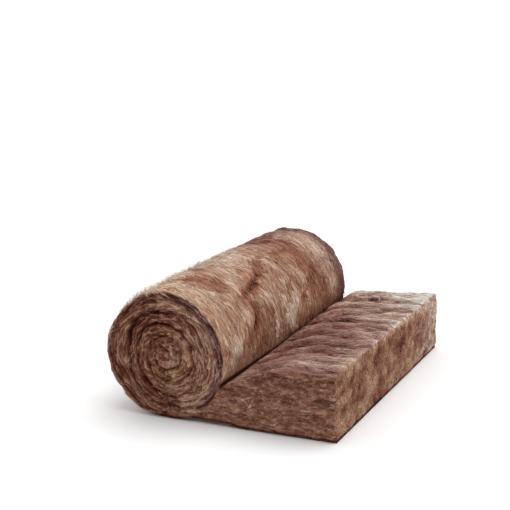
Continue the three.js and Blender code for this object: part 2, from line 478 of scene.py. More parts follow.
class CreaseMarks:
    """How near each place is to a set of creases: on it, around it, and on its two sides."""

    def __init__(self, places, routes, width):
        self.line = self.around = self.bulge = self.lee = np.zeros(len(places))
        for depth, route in routes:
            gap, side, share = route_places(places, np.array(route))
            fade = depth * np.sin(np.clip(share, 0.02, 0.98) * math.pi) ** 0.6
            self.line = np.maximum(self.line, fade * bump(gap, 0, width))
            self.around = np.maximum(self.around, fade * bump(gap, 0, 4 * width))
            self.bulge = np.maximum(self.bulge, fade * bump(gap, 3 * width, 2.2 * width) * (side < 0))
            self.lee = np.maximum(self.lee, fade * bump(gap, 1.5 * width, 2.5 * width) * (side > 0))


def route_places(places, route):
    """Distance to a route of straight pieces, which side of it, and how far along it."""
    steps = np.diff(route, axis=0)
    lengths = np.linalg.norm(steps, axis=1)
    done = np.concatenate([[0], np.cumsum(lengths)])
    gap = np.full(len(places), np.inf)
    side, share = np.zeros(len(places)), np.zeros(len(places))
    for start, step, length, before in zip(route, steps, lengths, done):
        off = places - start
        along = np.clip(off @ step / length**2, 0, 1)
        away = np.linalg.norm(off - along[:, None] * step, axis=1)
        nearer = away < gap
        gap[nearer] = away[nearer]
        side[nearer] = np.sign(step[0] * off[:, 1] - step[1] * off[:, 0])[nearer]
        share[nearer] = ((before + along * length) / done[-1])[nearer]
    return gap, side, share


class WoolPatterns:
    """Patterns that the relief and the shade of the wool share."""

    def __init__(self, points, wound, shape):
        fibre = wound.fibre
        warp = 0.04 * np.column_stack([pattern(fibre, (0.12, 0.12, 0.3), 5 + i) for i in range(3)])
        self.broad = pattern(points, (0.22, 0.24, 0.2), 1)
        self.middling = pattern(points, (0.075, 0.07, 0.07), 2)
        self.streak = pattern(fibre, (0.080, 0.018, 0.018), 3, 2)
        self.fine_streak = pattern(fibre, (0.045, 0.008, 0.008), 4)
        self.blotch = pattern(fibre, (0.13, 0.07, 0.09), 30, 3)
        self.to_nip = ramp(wound.part, NIP_TURN - 0.17, NIP_TURN - 0.02)
        self.far = ramp(points[:, 1], 0.1, HALF_WIDTH)
        # how strongly the cut end's top edge carries its painted highlight, weaker towards the front
        self.edge_highlight = 0.3 + 0.7 * ramp(points[:, 1], -0.45, 0.0)
        fluff = pattern(fibre + warp * (1, 1, 0), (0.16, 0.10, 1.0), 50, 3)
        self.fluff = ramp(fluff + 0.35 - 1.2 * self.to_nip - 0.3 * self.far, -0.15, 0.20)
        creased = np.clip(0.2 + 1.1 * pattern(fibre, (0.30, 0.25, 1.0), 10), 0, 1)
        self.creased = creased * (1 - cell_edges((fibre + warp) * (1, 1, 0), (0.24, 0.15, 1.0), 9))

        warped = warp[:, :2] * 0.25
        round_roll = np.column_stack([wound.part * TURN_LENGTH, points[:, 1]])
        self.roll_crease = CreaseMarks(round_roll + warped, ROLL_CREASES, 0.013)
        self.tail_crease = CreaseMarks(points[:, :2] + warped * 0.5, TAIL_CREASES, 0.007)
        self.drop, self.valley = fold_drop(points)
        folds = points + warp * (0.3, 1.0, 0)
        self.fold = pattern(folds, (0.16, 0.055, 0.3), 12, 3)
        self.fine_fold = pattern(folds, (0.07, 0.022, 0.3), 22, 2)

        laid = fibre + np.outer(wound.crinkle + 0.002 * pattern(points, (0.011,) * 3, 33), (0, 0, 1))
        self.strands = 1 - np.clip(np.abs(pattern(laid, (0.10, 0.4, 0.0095), 15)) * 2.6, 0, 1)
        self.fine_strands = pattern(laid, (0.05, 0.2, 0.005), 19)
        self.bands = pattern(laid, (0.25, 0.5, 0.022), 18)
        self.ring_lumps = pattern(fibre, (0.06, 0.2, 0.03), 16, 2)
        self.matted = pattern(points, (0.020, 0.1, 0.012), 44, 3)
        open_seam = 0.5 + 0.9 * pattern(fibre, (0.20, 0.5, 0.5), 17)
        slack = bump(wound.turn, *SLACK_SEAM)
        open_seam = np.clip(open_seam + 0.6 * slack, 0.1, 1) * np.where(wound.layer > 2, 0.6, 1.0)
        open_seam *= 1 - 0.6 * bump(wound.turn, *SHUT_SEAM)
        open_seam += 0.6 * bump(wound.turn, *GAPING_SEAM)
        inside = ~wound.tail | (wound.rim < ROLL_RADIUS)
        self.seam = open_seam * bump(wound.seam_gap, 0, shape.seam_width * (1 + 0.5 * slack)) * inside

        self.torn = pattern(points, (0.05, 0.050, 0.036), 20, 3)
        self.cut_patch = pattern(points, (0.2, 0.12, 0.065), 25, 2)
        self.torn_broad = pattern(points, (0.2, 0.11, 0.13), 21)
        self.dragged = pattern(points, (0.2, 0.009, 0.06), 24, 2)
        self.flecks = np.clip(pattern(points, (0.03, 0.1, 0.013), 31, 2) * 1.4, 0, 1)
        self.golden = pattern(points, (0.2, 0.1, 0.08), 32, 2)


class Wool:
    """What the relief, the shade and the grain of the wool depend on at each point."""

    def __init__(self, points, normals, shape):
        self.points, self.normals, self.shape = points, normals, shape
        self.wound = WoundPlaces(points, shape)
        self.sides = WoolSides(points, normals, self.wound)
        self.marks = WoolPatterns(points, self.wound, shape)
        cut = self.sides.cut[:, None] > 0.5
        self.fibre = np.where(cut, points[:, [2, 1, 0]], self.wound.fibre)


def sculpt_blanket(mesh, wool):
    """Moves the blanket's points into sprung wool."""
    points, normals, shape = wool.points, wool.normals, wool.shape
    wound, sides, marks = wool.wound, wool.sides, wool.marks
    x, y, z = points.T
    edge = 0.3 + 0.7 * ramp(z, 0.0, 0.03)
    tuck = shape.tuck * (1 - ramp(z, 0.0, 0.022))
    flat = shape.flat * (1 - ramp(y, -HALF_WIDTH, -HALF_WIDTH + 0.35))
    flat *= bump(wound.part, *FLAT)
    cut = shape.torn * (0.8 * marks.torn + 0.3 * marks.torn_broad + 0.15 * marks.dragged - 0.3)

    moved = points + normals * long_relief(wool, flat)[:, None]
    moved[:, 1] += np.sign(y) * sides.end * (end_relief(wool) * edge - tuck)
    moved[:, 0] += sides.cut * (cut * edge - tuck)
    flat_end = flat * ramp(wound.rim, 0.12, ROLL_RADIUS) * sides.end
    moved -= wound.outward * flat_end[:, None]
    moved += settle_back(points)
    high = np.clip(z / tail_top(x, shape.tail_thickness), 0, 1) ** 4
    moved[:, 2] -= marks.drop * high * wound.tail * (1 - 0.6 * ramp(x, CUT_X - 0.06, CUT_X))
    close_nip(moved, points, wound, shape)
    moved[:, 2] = np.maximum(moved[:, 2], 0.0)
    mesh.vertices.foreach_set("co", moved.ravel())
    mesh.update()


def long_relief(wool, flat):
    """How far the wool stands out on the roll, the tail's top and the underside."""
    x, _, z = wool.points.T
    shape, sides, marks = wool.shape, wool.sides, wool.marks
    out = shape.lumps * (0.6 * marks.broad + 0.35 * marks.middling) * (1 - sides.floor)
    out += shape.pillows * (0.3 - marks.creased + 0.5 * marks.fluff) * sides.roll
    crease = marks.roll_crease
    out += shape.creases * (0.6 * crease.bulge - crease.line - 0.35 * crease.lee) * sides.roll
    out += shape.streaks * (marks.streak + 0.4 * marks.fine_streak) * sides.long
    out += shape.wrinkles * (marks.fold + 0.25 * marks.fine_fold) * sides.top
    crease = marks.tail_crease
    out += shape.wrinkles * (0.6 * crease.bulge - 1.2 * crease.line) * sides.top
    out -= flat * sides.roll
    calm = ramp(wool.wound.room, 0.0, 0.05) * (0.35 + 0.65 * ramp(z, 0.0, 0.05))
    calm *= 1 - 0.85 * ramp(x, CUT_X - 0.05, CUT_X)
    return out * calm


def end_relief(wool):
    """How far the wool stands out on the roll's and the tail's ends."""
    shape, wound, marks = wool.shape, wool.wound, wool.marks
    drift = np.column_stack([wound.turn * 1.7, wound.layer * 3.1, wool.sides.front * 5.0])
    out = shape.telescoping * np.clip(pattern(drift, (1, 1, 1), 14), -1, 1) * (~wound.tail)
    laid = np.where(wound.tail, 0.5 * marks.strands + 0.7 * marks.matted, 1.6 * marks.strands - 0.5)
    out += shape.rings * (laid + 0.8 * marks.ring_lumps + 0.8 * marks.bands - 0.5)
    return out - shape.seam_depth * marks.seam


def close_nip(moved, points, wound, shape):
    """Closes the tail's lip onto the roll, along its whole width, but for a gap that wavers."""
    radius = ROLL_RADIUS + BACK_SWELL * toward_back(points)
    x, height = moved[:, 0] - AXIS_X, moved[:, 2] - radius
    gap = np.maximum(np.hypot(x, height) - radius, 0)
    lip_x, lip_z = on_roll(NIP_TURN, ROLL_RADIUS + shape.notch)
    lip = points * (0, 1, 0) + (AXIS_X + lip_x, 0, lip_z)
    lip += settle_back(lip)
    lip_gap = np.hypot(lip[:, 0] - AXIS_X, lip[:, 2] - radius) - radius
    near = 1 - ramp(points[:, 0] - AXIS_X, lip_x, lip_x + LIP_CLOSING)
    wander = pattern(points * (0, 1, 0), (1.0, 0.055, 1.0), 60, 2)
    kept = shape.nip_gap * np.maximum(0.64 + 0.40 * wander, 0.3)
    shift = np.minimum(gap, lip_gap) * (1 - kept / lip_gap) * near * wound.tail
    moved -= wound.outward * shift[:, None]


def shade_wool(wool):
    """The shade of the wool at each point."""
    sides = wool.sides
    notch = 1 - ramp(wool.wound.room, 0.002, 0.013)
    floor_shadow = 1 - ramp(wool.points[:, 2], 0.004, 0.018)
    shade = roll_shade(wool) * sides.roll[:, None] + top_shade(wool) * sides.top[:, None]
    shade += np.array(UNDERSIDE_SHADE) * (1 - sides.long)[:, None]
    # Painted shade in the nip: darker and redder where the roll meets the tail.
    shade[:, 0] -= 0.9 * notch * sides.long
    shade[:, 1] += 0.6 * notch * sides.long
    shade += (end_shade(wool) - shade) * sides.end[:, None]
    shade += (cut_shade(wool) - shade) * sides.cut[:, None]
    # Painted contact shadow: the ends and the cut end darken just above the floor.
    shade[:, 0] -= 0.45 * floor_shadow * (sides.end + sides.cut)
    return np.clip(shade, LEAST_SHADE, 1)


def roll_shade(wool):
    """The shade of the roll's outside."""
    wound, marks, y = wool.wound, wool.marks, wool.points[:, 1]
    to_nip, far, crease = marks.to_nip, marks.far, marks.roll_crease
    far_rim = ramp(y + 0.030 * marks.blotch, HALF_WIDTH - 0.105, HALF_WIDTH - 0.035)
    far_rim *= 0.4 + 0.6 * ramp(wound.part, 0.30, 0.42)
    near_front = 1 - ramp(y, -HALF_WIDTH, -0.25)
    painted_crest_highlight = bump(wound.part, *PAINTED_CREST_HIGHLIGHT)
    mauve_top = ramp(y, 0.0, 0.25) * bump(wound.part, *MAUVE_TOP) * (0.8 + 0.4 * marks.streak)
    nip_side = ramp(wound.part, NIP_TURN - 0.09, NIP_TURN - 0.03)

    pale = 0.61 + 0.17 * marks.fluff + 0.12 * marks.blotch + 0.09 * marks.streak
    # Painted shade, reddish, in the creases and along the pillows' borders, with a painted highlight
    # on the bulge beside each crease.
    pale += 0.06 * marks.fine_streak + 0.05 * far - 0.22 * marks.creased
    pale += 0.08 * crease.bulge - 0.38 * crease.line - 0.26 * crease.around
    # The roll's crest gets a painted highlight.
    pale = np.minimum(pale, ROLL_PALEST) + 0.08 * painted_crest_highlight - 0.50 * mauve_top
    # The last reach before the nip is painted darker, as the shade that the tail casts on the roll.
    pale += 0.15 * to_nip - 0.14 * ramp(wound.part, NIP_TURN - 0.07, NIP_TURN)
    pale += nip_side * (0.12 * near_front - 0.17 * ramp(y, -0.2, 0.3))
    rimmed = 0.25 + 0.16 * marks.streak + 0.10 * marks.fine_streak + 0.10 * marks.blotch
    pale += (rimmed - pale) * 0.9 * far_rim
    # Reddish tone: partly the hue of the painted shade in the creases and near the nip, partly the
    # wool's own.
    rusty = 0.5 * crease.line + 1.0 * crease.around + 0.8 * marks.creased * (1 - 0.6 * far)
    rusty += 0.35 * to_nip + 0.6 * (1 - marks.fluff) * (1 - 0.5 * far) - 0.2 * marks.blotch
    rusty += 0.45 * nip_side * ramp(y, -0.45, -0.2) - 0.9 * mauve_top
    rusty += (-1.0 - rusty) * far_rim
    golden = (0.30 + 0.35 * near_front) * (1 - far) * (0.2 + 0.8 * marks.fluff) * (1 - 0.7 * to_nip)
    return np.column_stack([pale, rusty, golden])


def top_shade(wool):
    """The shade of the tail's top."""
    marks, crease = wool.marks, wool.marks.tail_crease
    x, y, _ = wool.points.T
    near_edge = bump(y, -HALF_WIDTH + 0.020, 0.042) * ramp(x, -0.02, 0.08)
    lip_side = 1 - ramp(x, 0.03, 0.12)
    # Ridges of the folds and wrinkles are painted paler and their valleys darker, as light and shade;
    # blotch and streak are the wool's own tone.
    wrinkled = 0.22 * marks.fold + 0.08 * marks.fine_fold + 0.14 * marks.blotch + 0.06 * marks.streak
    pale = 0.35 + wrinkled * (0.6 + 1.1 * ramp(y, -0.5, HALF_WIDTH))
    pale += 0.10 * marks.blotch * (1 - ramp(y, -0.5, 0.0))
    pale += 0.07 * (1 - ramp(y, -0.45, -0.25)) - 0.10 * bump(y, -0.16, 0.15)
    # Painted shade in the fold valleys and in the wrinkles, with a painted highlight on the bulge
    # beside each wrinkle.
    pale += 0.12 * crease.bulge - 0.32 * crease.line - 0.17 * (marks.valley - 0.4)
    pale += 0.16 * ramp(x, 0.10, CUT_X) + 0.20 * ramp(y, -0.3, HALF_WIDTH) - 0.17 * near_edge
    pale += lip_side * (0.14 * bump(y, -0.15, 0.20) - 0.12 * ramp(y, 0.05, 0.30))
    # Painted highlight along the tail's top at the cut edge.
    pale += 0.26 * ramp(x, CUT_X - 0.03, CUT_X) * marks.edge_highlight
    rusty = -0.12 - 0.25 * ramp(y, 0.0, HALF_WIDTH) - 0.50 * ramp(x, 0.08, 0.25)
    return np.column_stack([np.minimum(pale, TOP_PALEST), rusty, np.zeros(len(x))])


def end_shade(wool):
    """The shade of the roll's and the tail's ends."""
    wound, marks = wool.wound, wool.marks
    x, _, z = wool.points.T
    tail, roll = wound.tail, ~wound.tail
    inner_rim = ramp(wound.rim, ROLL_RADIUS - 0.060, ROLL_RADIUS - 0.045) * roll
    rim = ramp(wound.rim, ROLL_RADIUS - 0.038, ROLL_RADIUS - 0.026) * roll
    right = ramp(wound.part, 0.40, 0.55) * ramp(wound.part, 1.0, 0.9)
    core = 1 - ramp(wound.rim, 0.05, 0.15)
    low = (1 - ramp(z, 0.06, 0.16)) * tail
    lip_shadow = bump(z, tail_top(x, wool.shape.tail_thickness) - 0.028, 0.016) * tail
    laid = 0.46 * (marks.strands - 0.45) + 0.10 * marks.fine_strands
    matted = 0.15 * marks.matted + 0.26 * (marks.strands - 0.45) + 0.06 * marks.fine_strands

    pale = 0.60 + np.where(tail, matted - 0.05, laid + 0.12 * right - 0.06)
    pale += (0.11 * marks.bands + 0.15 * marks.ring_lumps) * (1 - 0.5 * tail) + 0.07 * core
    # The open seams between turns are painted dark, as the shade in them, besides being cut in.
    pale += 0.16 * inner_rim * right - rim * (0.10 + 0.22 * right) - 0.50 * marks.seam
    # Painted shade in a band just under the tail's top edge.
    pale -= 0.14 * lip_shadow + 0.20 * bump(wound.part, *DARK_TOP) * roll
    pale -= 0.04 * (1 - right) * roll
    pale = np.minimum(pale, END_PALEST + 0.10 * right * (1 - 2 * rim))
    rusty = 0.90 + 0.2 * marks.seam - 1.3 * rim * right - 0.30 * tail
    return np.column_stack([pale, rusty, 0.35 * core + low * (0.10 + 0.70 * marks.flecks)])


def cut_shade(wool):
    """The shade of the cut end."""
    marks, far = wool.marks, wool.marks.far
    _, y, z = wool.points.T
    under_brink = bump(z, 0.180, 0.028) * (1 - ramp(y, 0.35, 0.55))
    pale = 0.55 + 0.22 * marks.torn + 0.08 * marks.dragged + 0.18 * marks.cut_patch
    # Painted highlight along the cut end's top edge.
    pale = np.minimum(pale, CUT_PALEST) + 0.22 * ramp(z, 0.205, 0.235) * marks.edge_highlight
    pale += 0.08 * bump(y, -HALF_WIDTH, 0.02) + 0.20 * far - 0.10 * under_brink
    rusty = np.maximum(0.35 - 1.1 * marks.golden, 0) * (1 - 0.7 * far) + 0.25 * under_brink
    golden = (0.40 + 0.9 * marks.golden) * (1 - 0.6 * far)
    return np.column_stack([pale, rusty, golden])


def tail_top(x, thickness):
    """About how high the tail's top is at its front edge."""
    nip_x, nip_z = on_roll(NIP_TURN, ROLL_RADIUS)
    to_full = np.clip(1 - (x - AXIS_X - nip_x) / SWELL_REACH, 0, 1)
    return thickness - (thickness - nip_z) * to_full**SWELL_POWER


def finish_wool(mesh, shade, fibre):
    """Smooths a piece, and gives it what its material reads: its shade, and where its fibres lie
    in the blanket."""
    for name, values in (("shade", shade), ("fibre", fibre)):
        layer = mesh.attributes.new(name, "FLOAT_VECTOR", "POINT")
        layer.data.foreach_set("vector", np.ascontiguousarray(values, dtype=np.float32).ravel())
    mesh.polygons.foreach_set("use_smooth", [True] * len(mesh.polygons))


# Materials


class NodeTree:
    """The emptied node tree of a material or a world, and short ways to add nodes to it."""

    def __init__(self, owner):
        owner.use_nodes = True
        self.nodes, self.links = owner.node_tree.nodes, owner.node_tree.links
        self.nodes.clear()

    def add(self, kind, feeds=(), **settings):
        """The outputs of a new node. Values and other nodes' outputs feed its inputs."""
        node = self.nodes.new("ShaderNode" + kind)
        for key, value in settings.items():
            setattr(node, key, value)
        for key, value in dict(feeds).items():
            if isinstance(value, bpy.types.NodeSocket):
                self.links.new(value, node.inputs[key])
            else:
                node.inputs[key].default_value = value
        return node.outputs

    def math(self, operation, *values):
        return self.add("Math", enumerate(values), operation=operation)["Value"]

    def mix(self, way, share, first, second):
        feeds = {"Factor": share, "A": first, "B": second}
        return self.add("Mix", feeds, data_type="RGBA", blend_type=way)["Result"]

    def seen_share(self):
        """1 where the camera sees a surface, also in a gloss or through glass, and 0 for other
        light."""
        rays = self.add("LightPath")
        seen = rays["Is Camera Ray"]
        for name in ("Is Glossy Ray", "Is Transmission Ray"):
            seen = self.math("MAXIMUM", seen, rays[name])
        return seen


def wool_material(name, colours, grain_share, relief_height):
    """Wool whose shade and grain follow the fibres, read from the piece's own attributes."""
    material = bpy.data.materials.new(name)
    tree = NodeTree(material)
    fibre = tree.add("Attribute", attribute_name="fibre")
    stretched = tree.add("Mapping", {"Vector": fibre["Vector"], "Scale": GRAIN_SCALE})
    grain = tree.add("TexNoise", {
        "Vector": stretched["Vector"],
        "Scale": 1.0,
        "Detail": 3.0,
        "Roughness": 0.6,
        "Distortion": 0.35,
    })["Fac"]
    relief = tree.add("Bump", {"Strength": 0.9, "Distance": relief_height, "Height": grain})

    shade = tree.add("Attribute", attribute_name="shade")
    parts = tree.add("SeparateXYZ", {"Vector": shade["Vector"]})
    grained = tree.math("MULTIPLY_ADD", grain, grain_share, parts["X"])
    tones = tree.nodes.new("ShaderNodeValToRGB")
    tree.links.new(tree.math("SUBTRACT", grained, grain_share / 2), tones.inputs["Fac"])
    stops = (colours.hollow_shade, colours.dark, colours.middle, colours.light, colours.pale)
    for _ in range(len(stops) - 2):
        tones.color_ramp.elements.new(0.5)
    for i, (element, tint) in enumerate(zip(tones.color_ramp.elements, stops)):
        element.position = i / (len(stops) - 1)
        element.color = (*tint, 1)

    tinted = tones.outputs["Color"]
    for channel, tint, most in (
        ("Y", colours.rust, 0.75), ("Y", colours.mauve, -0.75), ("Z", colours.gold, 0.6)
    ):
        change = [part / whole for part, whole in zip(tint, colours.middle)]
        amount = tree.math("MULTIPLY", parts[channel], most)
        tinted = tree.mix("MIX", amount, tinted, tree.mix("MULTIPLY", 1.0, tinted, (*change, 1)))
    shader = tree.add("BsdfPrincipled", {
        "Base Color": tinted,
        "Normal": relief["Normal"],
        "Roughness": 0.95,
        "Specular IOR Level": 0.04,
        "Sheen Weight": 0.02,
        "Sheen Roughness": 0.55,
        "Sheen Tint": (1.0, 0.86, 0.76, 1),
    })
    tree.add("OutputMaterial", {"Surface": shader["BSDF"]})
    return material


# Tufts of fibre


STATIONS = 4  # rows of points along a tuft, with its two tips
STEPS = np.linspace(0, 1, STATIONS)  # how far along it each of them is
NIP_ROOM = 0.004  # how far from the nip tufts start
TIP_ROOM = 0.003  # how far from it they end, about
STRAY_ROOM = 0.04  # how far from it strays start
STRAY_WIDTH = 0.35  # of a stray, as a share of another tuft's width
LONGEST_TIP = 1.6  # how far a stray stands off the wool, as a share of the usual
FLOOR_CLEARANCE = 0.0005
SAME = 1e-5  # places this close are one place


class Lay(NamedTuple):
    """How the tufts of one piece lie."""

    count: int
    length: float = 1.0  # as a share of the usual length
    width: float = 1.0  # as a share of the usual width
    spread: float = 0.2  # how far each turns from the fibres' way, in radians
    tail_spread: float = 0.0  # how much further those on the tail do
    flow: float = 0.0  # how far whole areas of them turn from it, in radians
    thick: float = 0.4  # thickness, as a share of their width
    lift: float = 0.6  # how far they stand up, as a share of their width
    stray: float = 0.03  # the share of them that are thin and stand off the wool
    upright: float = 0.0  # how much they turn to the vertical
    vary: float = 0.08  # how much one tuft differs in tone from the next
    paler: float = 0.0  # how much paler they are than the wool under them


def tuft_rows(wool):
    """Each piece of tufts: its name, how thickly it covers each point, and how it lies."""
    sides = wool.sides
    standing = standing_wool(wool.wound.part, wool.points[:, 1])
    return (
        ("tufts_roll_outside", sides.roll * (1 + 1.5 * standing), Lay(
            count=16000, length=1.4, width=1.1, spread=0.12, flow=0.50, thick=0.3, stray=0.16,
            vary=0.04, paler=0.02,
        )),
        ("tufts_tail_top", sides.top, Lay(
            count=10000, length=1.2, width=1.2, spread=0.15, flow=0.20, thick=0.3, lift=0.4,
            vary=0.04, paler=0.01,
        )),
        ("tufts_front_end", sides.end * sides.front, Lay(
            count=16000, length=0.62, width=0.6, spread=0.10, tail_spread=0.5, lift=0.9,
            stray=0.0, vary=0.07,
        )),
        ("tufts_back_end", sides.end * ~sides.front, Lay(
            count=10000, length=0.8, width=0.8, spread=0.10, tail_spread=0.5, lift=0.8,
            stray=0.0, vary=0.06,
        )),
        ("tufts_cut_end", sides.cut, Lay(
            count=10000, length=0.6, width=0.8, spread=0.7, lift=0.8, upright=1.0,
            vary=0.06,
        )),
    )


def standing_wool(part, y):
    """How much the fibres stand up, from 0 to 1: along the top of the roll, to its front end."""
    return bump(part, *STANDING) * ramp(-y, -0.3, 0.2)


def tuft_template():
    """One tuft of unit size: a three-sided spindle along Z."""
    bm = bmesh.new()
    bmesh.ops.create_cone(bm, cap_ends=True, segments=3, radius1=1, radius2=1, depth=1)
    bmesh.ops.translate(bm, verts=bm.verts[:], vec=(0, 0, 0.5))
    lengthwise = [e for e in bm.edges if abs(e.verts[0].co.z - e.verts[1].co.z) > 0.5]
    bmesh.ops.subdivide_edges(bm, edges=lengthwise, cuts=STATIONS - 2)
    for end in (0.0, 1.0):
        cap = [v for v in bm.verts if abs(v.co.z - end) < SAME]
        bmesh.ops.pointmerge(bm, verts=cap, merge_co=(0, 0, end))
    bmesh.ops.triangulate(bm, faces=bm.faces[:])
    bmesh.ops.recalc_face_normals(bm, faces=bm.faces[:])
    bm.verts.index_update()
    places = np.array([v.co[:] for v in bm.verts])
    faces = np.array([[v.index for v in f.verts] for f in bm.faces])
    bm.free()
    return places, faces


class WoolSurface:
    """The sculpted blanket's triangles, with what a tuft needs to know at any point of them."""

    def __init__(self, mesh, wool):
        mesh.calc_loop_triangles()
        self.points, self.normals = mesh_points(mesh)
        corners = np.empty(len(mesh.loop_triangles) * 3, np.int32)
        mesh.loop_triangles.foreach_get("vertices", corners)
        self.corners = corners.reshape(-1, 3)
        a, b, c = (self.points[self.corners[:, i]] for i in range(3))
        self.areas = np.linalg.norm(np.cross(b - a, c - a), axis=1) / 2
        self.wool = wool
        self.tree = BVHTree.FromPolygons(self.points.tolist(), self.corners.tolist())

    def scatter(self, weight, count, rng):
        """Random points over the surface, as many on each triangle as its area and weight ask,
        the normals there, and the wool that they lie on."""
        share = self.areas * weight[self.corners].mean(1)
        faces = np.searchsorted(np.cumsum(share) / share.sum(), rng.random(count))
        faces = np.minimum(faces, len(self.corners) - 1)
        u, v = rng.random((2, count))
        flip = u + v > 1
        u[flip], v[flip] = 1 - u[flip], 1 - v[flip]
        mix = np.column_stack([1 - u - v, u, v])
        corners = self.corners[faces]
        known = (self.points, self.normals, self.wool.points, self.wool.normals)
        places, normals, *plain = [(values[corners] * mix[:, :, None]).sum(1) for values in known]
        return places, unit(normals), Wool(*plain, self.wool.shape)

    def settle(self, places):
        """The nearest points of the surface, and its normals there."""
        flat = places.reshape(-1, 3)
        found = [self.tree.find_nearest(p)[:2] for p in flat.tolist()]
        points = np.array([f[0][:] for f in found]).reshape(places.shape)
        normals = np.array([f[1][:] for f in found]).reshape(places.shape)
        return points, normals


def unit(vectors):
    return vectors / np.maximum(np.linalg.norm(vectors, axis=-1, keepdims=True), 1e-9)


class Tufts:
    """The tufts of one piece, scattered over one side of the wool. A tuft doesn't reach into the
    nip."""

    def __init__(self, surface, weight, lay, sizes, seed):
        self.surface, self.lay, self.sizes = surface, lay, sizes
        self.rng = rng = np.random.default_rng(sizes.seed * 100 + seed)
        self.count = count = int(lay.count * sizes.density)
        self.places, self.normals, self.wool = surface.scatter(weight, count, rng)
        room = self.wool.wound.room
        self.way, self.across = self.ways()
        lengths = sizes.length * lay.length * rng.lognormal(0, 0.35, count)
        self.lengths = np.minimum(lengths, 1.3 * np.maximum(room - TIP_ROOM, 0.001))
        self.widths = sizes.width * lay.width * rng.lognormal(0, 0.4, count)
        self.standing = standing_wool(self.wool.wound.part, self.places[:, 1])
        stray = rng.random(count) < lay.stray * (1 + 7 * self.standing)
        self.strays = stray & (room > STRAY_ROOM)
        self.widths[self.strays] *= STRAY_WIDTH

    def ways(self):
        """The way that each tuft runs, along the fibres but for some turn, and that across it."""
        wound, lay, normals = self.wool.wound, self.lay, self.normals
        along = np.where(wound.tail[:, None], np.array([-1.0, 0, 0]), wound.round)
        way = along * (1 - lay.upright) + np.array([0, 0, 1.0]) * lay.upright
        way = unit(way - (way * normals).sum(1, keepdims=True) * normals + 1e-6)
        across = np.cross(normals, way)
        spread = lay.spread + lay.tail_spread * wound.tail * ramp(wound.room, 0.02, 0.06)
        turn = self.rng.normal(0, 1, self.count) * spread
        turn += lay.flow * pattern(self.places, (0.13, 0.13, 0.13), 41)
        way = way * np.cos(turn)[:, None] + across * np.sin(turn)[:, None]
        way *= np.where(self.rng.random(self.count) < 0.5, -1, 1)[:, None]
        return way, np.cross(normals, way)

    def lines(self):
        """The middle lines of the tufts, settled on the wool, and the wool's normals there."""
        rng, lay, lengths = self.rng, self.lay, self.lengths
        curl = rng.normal(0, 0.18, self.count)[:, None] * lengths[:, None]
        line = (
            self.places[:, None]
            + self.way[:, None] * ((STEPS - 0.5) * lengths[:, None])[:, :, None]
            + self.across[:, None] * (curl * (STEPS - 0.5) ** 2 * 4)[:, :, None]
        )
        wave = crinkle_at(line.reshape(-1, 3)).reshape(self.count, STATIONS)
        wave = self.wool.shape.crinkle * (wave - wave.mean(1, keepdims=True))
        line -= self.wool.wound.inward[:, None] * wave[:, :, None]
        ground, normals = self.surface.settle(line)
        leap = np.linalg.norm(np.diff(ground, axis=1), axis=2).max(1) > 2 * lengths / (STATIONS - 1)
        ground[leap] = ground[leap, :1] + 0.1 * (line[leap] - line[leap, :1])
        normals = unit(normals + self.normals[:, None])
        rise = self.sizes.width * lay.width * lay.lift * (np.sin(STEPS * math.pi) * 0.9 - 0.35)
        rise = rise[None] * rng.uniform(0.5, 1.4, self.count)[:, None]
        tip = np.minimum(rng.gamma(1.6, 0.5, self.count), LONGEST_TIP) * self.sizes.stray_lift
        tip *= 1 + 1.4 * self.standing
        rise[self.strays] += tip[self.strays, None] * STEPS**2
        return ground + normals * rise[:, :, None], normals

    def points(self, template):
        """The template's points, bent along every tuft's line."""
        line, normals = self.lines()
        station = np.rint(template[:, 2] * (STATIONS - 1)).astype(int)
        ahead = unit(np.gradient(line, axis=1))
        sideways = unit(np.cross(normals, ahead))
        upward = np.cross(ahead, sideways)
        thick = self.lay.thick * self.widths
        points = (
            line[:, station]
            + sideways[:, station] * (template[:, 0] * self.widths[:, None] / 2)[:, :, None]
            + upward[:, station] * (template[:, 1] * thick[:, None] / 2)[:, :, None]
        )
        points[:, :, 2] = np.maximum(points[:, :, 2], FLOOR_CLEARANCE)
        return points

    def shade(self, template):
        """The shade of the wool under each tuft, paler towards the tuft's tip, with a painted
        highlight on strays that stand up.
        """
        rng, strays = self.rng, self.strays
        own = shade_wool(self.wool)[:, None] + np.zeros((1, len(template), 1))
        differs = self.lay.paler + rng.normal(0, self.lay.vary, self.count)[:, None]
        own[:, :, 0] += differs + 0.12 * (template[:, 2] - 0.6)
        # Painted highlight: strays that stand up on the roll's crest are made paler, as if lit from
        # behind.
        own[strays, :, 0] += 0.18 * self.standing[strays, None]
        own[:, :, 2] += rng.normal(0, 0.10, self.count)[:, None]
        return np.clip(own, LEAST_SHADE, 1).reshape(-1, 3)

    def fibre(self, template):
        """Where the grain is read for each tuft, a little away from the wool under it."""
        inner = template[:, [2, 0, 1]] * (0.04, 0.002, 0.002)
        moved = self.rng.normal(0, 0.003, (self.count, 1, 3))
        return (inner[None] + self.wool.fibre[:, None] + moved).reshape(-1, 3)


def lay_tufts(name, tufts):
    """One piece of many tufts that lie on one side of the wool."""
    template, faces = tuft_template()
    points = tufts.points(template).reshape(-1, 3)
    all_faces = faces[None] + (np.arange(tufts.count) * len(template))[:, None, None]
    mesh = bpy.data.meshes.new(name)
    mesh.from_pydata(points.tolist(), [], all_faces.reshape(-1, 3).tolist())
    finish_wool(mesh, tufts.shade(template), tufts.fibre(template))
    add_tuft_map(mesh, template, faces, tufts.count)
    return placed(name, mesh)


